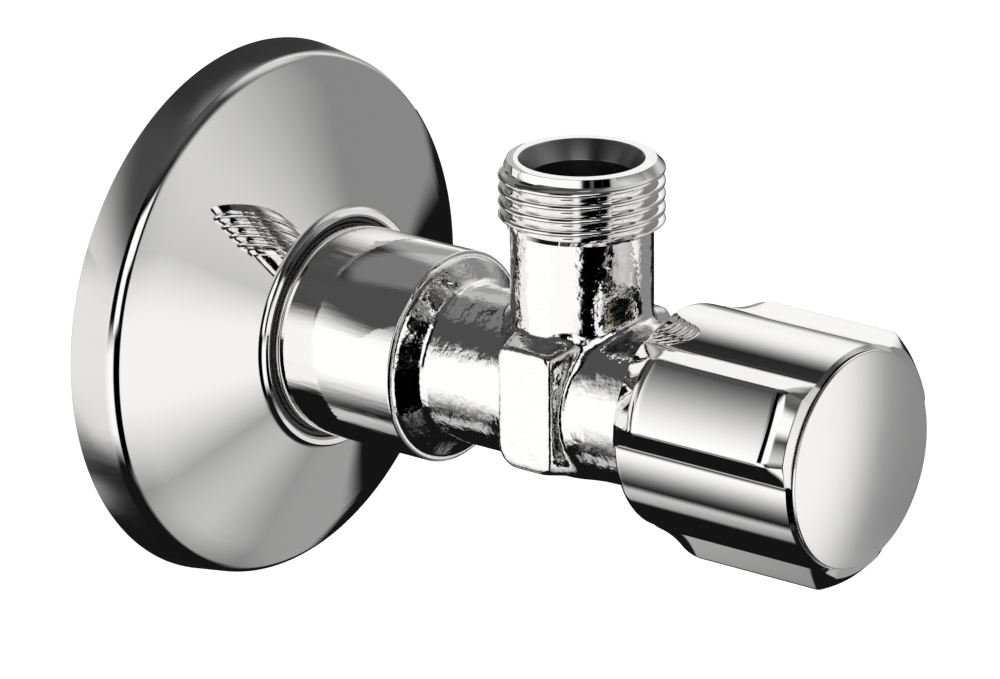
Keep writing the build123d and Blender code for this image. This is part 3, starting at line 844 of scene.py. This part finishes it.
class VALVE_OT_rings(MakesPiece, bpy.types.Operator):
    """Make the plate's guide ring, the inlet's sealing ring and the spindle's slide washer"""
    bl_idname = "valve.rings"
    bl_label = "Rings and Slide Washer"

    def measure(self, node):
        """A round node's outer radius, and how far its back and front are from the wall."""
        low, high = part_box(node)
        return high.x / MM, -high.y / MM, -low.y / MM

    def ring(self, inner, outer, back, front, inner_round, outer_round):
        """A plain ring with rounded edges."""
        return spun([
            (inner, back, inner_round), (outer, back, outer_round),
            (outer, front, outer_round), (inner, front, inner_round),
        ])

    def execute(self, context):
        size = in_mm(context.scene.valve_body)
        sleeve = context.scene.valve_cover.collar_radius / MM - 0.04
        outer, back, front = self.measure("plate_guide_ring")
        inner, shoulder = size.shank_radius + 0.05, back + 0.9
        guide = spun([
            (inner, back),
            (outer, back, 0.25),
            (outer, shoulder, 0.3),
            (sleeve, shoulder, 0.25),
            (sleeve, front, 0.2),
            (inner, front, 0.15),
        ])
        piece("guide_ring", guide, "cover", "dark_plastic", ["plate_guide_ring"])
        seal = self.ring(
            size.groove_radius + 0.04, size.shank_radius - 0.15, 0.1, size.groove_front - 0.1,
            0.1, 0.45,
        )
        piece("seal_ring", seal, "body", "black_rubber", ["inlet_seal_ring"])
        outer, back, front = self.measure("thrust_washer")
        slide = self.ring(size.slide_bore, outer - 0.05, back + 0.03, front - 0.03, 0.05, 0.05)
        piece("slide_washer", slide, "handle", "white_plastic", ["thrust_washer"])
        return {"FINISHED"}


# Handle

def soft_lower(first, second, blend):
    """The lower of two numbers, with the corner between them rounded over the blend."""
    overlap = max(blend - abs(first - second), 0.0) / blend
    return min(first, second) - overlap * overlap * blend / 4


class VALVE_OT_handle(MakesPiece, bpy.types.Operator):
    """Make the three-lobed shell of the handle"""
    bl_idname = "valve.handle"
    bl_label = "Handle Shell"

    first_angle: bpy.props.FloatProperty(
        name="First lobe", description="Turn of the first lobe from +X towards +Z",
        default=math.radians(152.5), subtype="ANGLE",
    )
    lobes: bpy.props.IntProperty(name="Lobes", description="Number of lobes", default=3, min=2)

    def section(self, size):
        """The shell's outline, seen from the front: lobes, flanks and valleys, all rounded."""
        bm = bmesh.new()
        half = size.crown_width / 2
        root_angle = math.asin(size.root_width / 2 / size.valley)
        points = []
        for lobe in range(self.lobes):
            turn = Matrix.Rotation(self.first_angle + lobe * 2 * math.pi / self.lobes, 2)
            crown = [
                (size.crown - size.crown_rise * (side / half) ** 2, side, 0)
                for side in steps_between(-half, half, 0.63)
            ]
            valley = [
                (size.valley * math.cos(angle), size.valley * math.sin(angle), 0)
                for angle in steps_between(
                    root_angle, 2 * math.pi / self.lobes - root_angle, math.radians(2.2))
            ]
            for stretch, radius in ((crown, 0.42), (valley, 0.5)):
                for place in (0, -1):
                    stretch[place] = (*stretch[place][:2], radius)
            for x, y, radius in crown + valley:
                spot = turn @ Vector((x, y))
                points.append((spot, radius))
        verts = [bm.verts.new((spot.x, 0, spot.y)) for spot, _ in points]
        for index, vert in enumerate(verts):
            bm.edges.new((verts[index - 1], vert))
        for vert, (_, radius) in zip(verts, points):
            if radius:
                bevel(bm, [vert], radius * 0.7, 6, "VERTICES")
        return bm

    def outside(self, size, end):
        """The rings of the shell's outside: each a distance from the wall and a new reach."""
        corner = math.hypot(size.crown - size.crown_rise, size.crown_width / 2)
        back_slope = (corner - size.back_radius) / size.back_length
        front_slope = (corner - size.front_radius) / size.front_length
        ends_round = 0.35

        def ring(out):
            limit = soft_lower(
                size.back_radius + (out - size.back) * back_slope,
                size.front_radius + (end - out) * front_slope, 0.5,
            )
            to_end = min(out - size.back, size.front - out)
            barrel = size.valley - ends_round * max(0.0, 1 - to_end / ends_round) ** 2

            def new_reach(reach):
                own = reach if reach > size.valley + 0.002 else barrel
                return max(soft_lower(own, limit, 0.55), size.hub + 0.2)
            return out, new_reach

        # The rings lie close together where the ends are rounded and the lobes are chamfered.
        outs = [size.back]
        for stop, spacing in (
            (size.back + 0.6, 0.1), (size.back + 5.4, 0.12), (end - 3.2, 2.5), (end - 0.5, 0.1),
            (end, 0.07),
        ):
            outs += steps_between(outs[-1], stop, spacing)[1:]
        return [ring(out) for out in outs]

    def inside(self, size, end, rim):
        """The rings of the sloping lip, the hub's bore and the hollow behind it."""
        ledge, cavity_front, hub_back = 8.6, 68.0, 69.2
        slopes = [
            (end + part * size.lip, lambda reach, part=part: (
                rim(reach) * (1 - part) + size.lip_radius * part))
            for part in (0.12, 0.9)
        ]
        plain = (
            (size.front, size.lip_radius),
            (size.front, size.hub + 0.12),
            (size.front - 0.12, size.hub),
            (hub_back, size.hub),
            (hub_back, ledge),
            (cavity_front, ledge),
            (cavity_front, size.cavity),
            (size.back + 0.15, size.cavity),
            (size.back, size.cavity + 0.15),
        )
        return slopes + [(out, lambda reach, radius=radius: radius) for out, radius in plain]

    def next_ring(self, bm, verts, edges):
        """Extrudes a ring of edges. The new corners keep the order of the old ones."""
        grown = bmesh.ops.extrude_edge_only(bm, edges=edges)["geom"]
        new_verts = {vert for vert in grown if isinstance(vert, bmesh.types.BMVert)}
        new_edges = [edge for edge in grown if isinstance(edge, bmesh.types.BMEdge)
                     and edge.verts[0] in new_verts and edge.verts[1] in new_verts]
        partner = {
            vert: edge.other_vert(vert) for vert in verts for edge in vert.link_edges
            if edge.other_vert(vert) in new_verts
        }
        return [partner[vert] for vert in verts], new_edges

    def execute(self, context):
        size = in_mm(context.scene.valve_handle)
        bm = self.section(size)
        verts, edges = bm.verts[:], bm.edges[:]
        first_edges = edges
        shape = [(vert.co.x, vert.co.z) for vert in verts]
        end = size.front - size.lip
        rings = self.outside(size, end)
        rings += self.inside(size, end, rings[-1][1])
        for index, (out, new_reach) in enumerate(rings):
            if index:
                verts, edges = self.next_ring(bm, verts, edges)
            for vert, (x, z) in zip(verts, shape):
                reach = math.hypot(x, z)
                grow = new_reach(reach) / reach
                vert.co = (x * grow, -out, z * grow)
        bmesh.ops.bridge_loops(bm, edges=edges + first_edges)
        bmesh.ops.recalc_face_normals(bm, faces=bm.faces)
        piece("handle_shell", bm, "handle", "polished_chrome", ["knob_shell"], math.radians(40))
        return {"FINISHED"}


class VALVE_OT_cap(MakesPiece, bpy.types.Operator):
    """Make the slightly domed disc in the handle's front"""
    bl_idname = "valve.cap"
    bl_label = "Handle Disc"

    def execute(self, context):
        size = in_mm(context.scene.valve_handle)
        disc = size.front + size.cap_gap
        edge = disc + size.cap_edge
        dome = [
            (size.cap_radius * part, edge + size.cap_dome * (1 - part * part))
            for part in (0.93, 0.86, 0.78, 0.7, 0.6, 0.5, 0.4, 0.3, 0.2, 0.1, 0.0)
        ]
        spigot, spigot_back = size.hub - 0.03, size.front - 1.3
        bm = spun([
            (0, disc),
            (spigot - 0.9, disc),
            (spigot - 0.9, spigot_back),
            (spigot, spigot_back, 0.2),
            (spigot, disc),
            (size.cap_radius, disc, 0.08),
            (size.cap_radius, edge, 0.12),
            *dome,
        ], closed=False)
        piece("handle_disc", bm, "handle", "satin_chrome", ["knob_cap"])
        return {"FINISHED"}


class VALVE_OT_works(MakesPiece, bpy.types.Operator):
    """Give the pieces inside the valve their materials"""
    bl_idname = "valve.works"
    bl_label = "Inner Works"

    def execute(self, context):
        finishes = {
            "plain_brass": ("headwork_body", "spindle", "plunger"),
            "fibre_gasket": ("headwork_gasket",),
            "black_rubber": ("plunger_o_ring", "seat_washer", "spindle_o_ring_rear",
                             "spindle_o_ring_front"),
            "screw_steel": ("seat_washer_screw", "seat_washer_plate", "knob_screw"),
            "white_plastic": ("knob_hub",),
            "spring_steel": ("spindle_clip",),
        }
        for finish, names in finishes.items():
            for name in names:
                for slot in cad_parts[name].material_slots:
                    slot.material = material_for(finish)
        return {"FINISHED"}


# Stage

class VALVE_OT_studio(MakesPiece, bpy.types.Operator):
    """Make the camera, the floor, the dark card and the room's light panels"""
    bl_idname = "valve.studio"
    bl_label = "Studio"

    # Each soft panel: azimuth, elevation, half width and half height in degrees, the softness
    # of its sides and of its ends in degrees, and its brightness.
    panels = [
        (-128, -5, 30, 31, 4, 15, 1.12),
        (-92, -24, 37, 22, 4, 8, 1.08),
        (-47, 20, 20, 23, 4, 4, 1.10),
        (10, -16, 44, 24, 10, 18, 1.00),
        (15, 14, 35, 24, 45, 14, 0.75),
        (35, -42, 30, 14, 35, 10, 0.66),
        (41, 4, 52, 40, 3, 20, 0.27),
        (50, -40, 43, 16, 3, 10, 0.36),
        (117, 32, 30, 26, 17, 19, 1.03),
        (130, 37, 8, 32, 4, 6, 0.99),
        (79, 51, 27, 20, 25, 14, 0.73),
        (174, 68, 33, 10, 7, 4, 0.18),
        (-143, 48, 41, 28, 4, 11, 0.08),
        (-166, -52, 12, 4, 5, 4, 0.60),
    ]
    # The dark gaps between them, given in the same way with how much light each takes away.
    gaps = [
        (-19, -5, 7, 40, 3, 5, 1.0),
        (-36, -26, 15, 24, 3, 4, 1.0),
        (-31, 5, 8, 11, 3, 4, 1.0),
        (-82, 28, 15, 24, 4, 5, 1.0),
    ]

    def camera(self, studio):
        """The camera, turned and placed by its angles."""
        az, el, roll = studio.azimuth, studio.elevation, studio.roll
        back = Vector((math.sin(az) * math.cos(el), -math.cos(az) * math.cos(el), math.sin(el)))
        right = Vector((math.cos(az), math.sin(az), 0))
        up = back.cross(right)
        side = math.cos(roll) * right + math.sin(roll) * up
        top = math.cos(roll) * up - math.sin(roll) * right
        data = bpy.data.cameras.new("camera")
        data.lens = studio.lens
        data.sensor_width = 36
        data.clip_start = 0.01
        made = bpy.data.objects.new("camera", data)
        made.matrix_world = (
            Matrix.Translation(Vector(studio.target) + back * studio.distance)
            @ Matrix((side, top, back)).transposed().to_4x4()
        )
        bpy.context.scene.collection.objects.link(made)
        bpy.context.scene.camera = made

    def show(self, made, *hidden_from):
        """Puts a piece of the stage in the scene, hidden from some kinds of rays."""
        for rays in hidden_from:
            setattr(made, "visible_" + rays, False)
        bpy.context.scene.collection.objects.link(made)

    def floor(self, studio):
        """A wide pale floor well below the valve, which rises far away into a backdrop."""
        low, radius = cad_low.z - studio.floor_drop, 3.0
        bm = bmesh.new()
        bmesh.ops.create_circle(bm, segments=96, radius=radius, cap_ends=True)
        bmesh.ops.translate(bm, verts=bm.verts, vec=(0, 0, low))
        for reach, rise in ((1.3, 0.15), (1.2, 0.6), (1.1, 1.6), (1.0, 4.0)):
            rim = [edge for edge in bm.edges if edge.is_boundary]
            grown = bmesh.ops.extrude_edge_only(bm, edges=rim)["geom"]
            verts = [vert for vert in grown if isinstance(vert, bmesh.types.BMVert)]
            bmesh.ops.scale(bm, verts=verts, vec=(reach, reach, 1))
            bmesh.ops.translate(bm, verts=verts, vec=(0, 0, rise))
        mesh = bpy.data.meshes.new("floor")
        bm.to_mesh(mesh)
        bm.free()
        mesh.shade_smooth()
        material, graph = new_material("floor")
        tone = shaded(studio.floor)
        cloud = graph.noise(0.6, 1.0)
        mesh.materials.append(finish_material(
            graph, material, Base_Color=tone, Roughness=0.9 + cloud * 0.05,
            Emission_Color=tone, Emission_Strength=studio.floor_light,
        ))
        made = bpy.data.objects.new("floor", mesh)
        self.show(made, "glossy", "diffuse", "shadow")

    def card(self, studio):
        """A dark card behind the cover plate, which only its rim and the shank mirror."""
        width, height, centre = 91, 42, (0.5, 1.5, 35)
        bm = bmesh.new()
        bmesh.ops.create_grid(bm, x_segments=1, y_segments=1, size=0.5)
        bmesh.ops.scale(bm, verts=bm.verts, vec=(width, height, 1))
        bmesh.ops.rotate(
            bm, verts=bm.verts, cent=(0, 0, 0), matrix=Matrix.Rotation(math.radians(90), 3, "X"),
        )
        bmesh.ops.translate(bm, verts=bm.verts, vec=centre)
        bmesh.ops.scale(bm, verts=bm.verts, vec=(MM, MM, MM))
        mesh = bpy.data.meshes.new("card")
        bm.to_mesh(mesh)
        bm.free()
        material, graph = new_material("card")
        across, _, rise = graph.place()
        # Where the card grows darker or brighter, in metres from the inlet axis.
        middle = graph.step(across, -0.018, -0.009)
        right = graph.step(across, 0.014, 0.024)
        top = graph.step(rise, 0.034, 0.038)
        foot = graph.step(rise, 0.0265, 0.0120)
        level = (studio.card_light * (1.0 - middle * 0.6) + middle * top * studio.card_top
                 + foot * studio.card_foot + right * studio.card_side)
        black, white = (0, 0, 0), (1, 1, 1)
        mesh.materials.append(finish_material(
            graph, material, Base_Color=shaded(black), Roughness=1.0,
            Emission_Color=graph.mix(level, black, white, clamp=False), Emission_Strength=1.0,
        ))
        made = bpy.data.objects.new("card", mesh)
        self.show(made, "camera", "diffuse", "shadow")

    def room(self, studio):
        """The room's light: soft panels of light on the sky that surrounds the valve."""
        world = bpy.data.worlds.new("room")
        world.use_nodes = True
        graph = Graph(world.node_tree)
        across, depth, rise = graph.place("Generated")
        azimuth = across.arctan2(0.0 - depth) * (180 / math.pi)
        elevation = rise.arcsine() * (180 / math.pi)
        light = studio.room_light * (graph.step(elevation, 45, 75) + 0.1)

        def patch(turn, height, half_width, half_height, side, end):
            sideways = abs((azimuth - turn).wrapped(-180, 180))
            upwards = abs(elevation - height)
            return (graph.step(sideways, half_width + side, half_width - side)
                    * graph.step(upwards, half_height + end, half_height - end))

        for *shape, level in self.panels:
            light = (patch(*shape) * (level * studio.box_light)).larger(light)
        for *shape, loss in self.gaps:
            light = light * (1.0 - patch(*shape) * loss)
        sky = graph.add("Background", values={"Color": shaded((1, 1, 1)), "Strength": light})
        graph.add("OutputWorld", values={"Surface": sky})
        bpy.context.scene.world = world

    def execute(self, context):
        studio = context.scene.valve_studio
        self.camera(studio)
        self.floor(studio)
        self.card(studio)
        self.room(studio)
        context.scene.view_settings.view_transform = "Standard"
        return {"FINISHED"}


class VALVE_PT_panel(bpy.types.Panel):
    """The valve's sizes, finishes and steps in the sidebar."""
    bl_label = "Sink Shut-off Valve"
    bl_space_type = "VIEW_3D"
    bl_region_type = "UI"
    bl_category = "Valve"

    def draw(self, context):
        for name, title in groups.values():
            box = self.layout.box()
            box.label(text=title)
            group = getattr(context.scene, name)
            for key in group.__annotations__:
                box.prop(group, key)
        for step in steps:
            self.layout.operator(step.bl_idname)


groups = {
    BodySizes: ("valve_body", "Body"),
    CoverSizes: ("valve_cover", "Cover plate"),
    HandleSizes: ("valve_handle", "Handle"),
    Finishes: ("valve_finishes", "Finishes"),
    StudioSettings: ("valve_studio", "Studio"),
}
steps = (
    VALVE_OT_studio,
    VALVE_OT_inlet,
    VALVE_OT_casting,
    VALVE_OT_outlet,
    VALVE_OT_cover,
    VALVE_OT_rings,
    VALVE_OT_handle,
    VALVE_OT_cap,
    VALVE_OT_works,
)


def register():
    """Add the sizes, the steps and the panel to Blender."""
    for group, (name, _) in groups.items():
        bpy.utils.register_class(group)
        setattr(bpy.types.Scene, name, bpy.props.PointerProperty(type=group))
    for step in steps:
        bpy.utils.register_class(step)
    bpy.utils.register_class(VALVE_PT_panel)


def unregister():
    """Take them out again."""
    bpy.utils.unregister_class(VALVE_PT_panel)
    for step in reversed(steps):
        bpy.utils.unregister_class(step)
    for group, (name, _) in groups.items():
        delattr(bpy.types.Scene, name)
        bpy.utils.unregister_class(group)


def main():
    """Build the valve and its studio."""
    register()
    for step in steps:
        group, name = step.bl_idname.split(".")
        getattr(getattr(bpy.ops, group), name)()


if __name__ == "__main__":
    main()
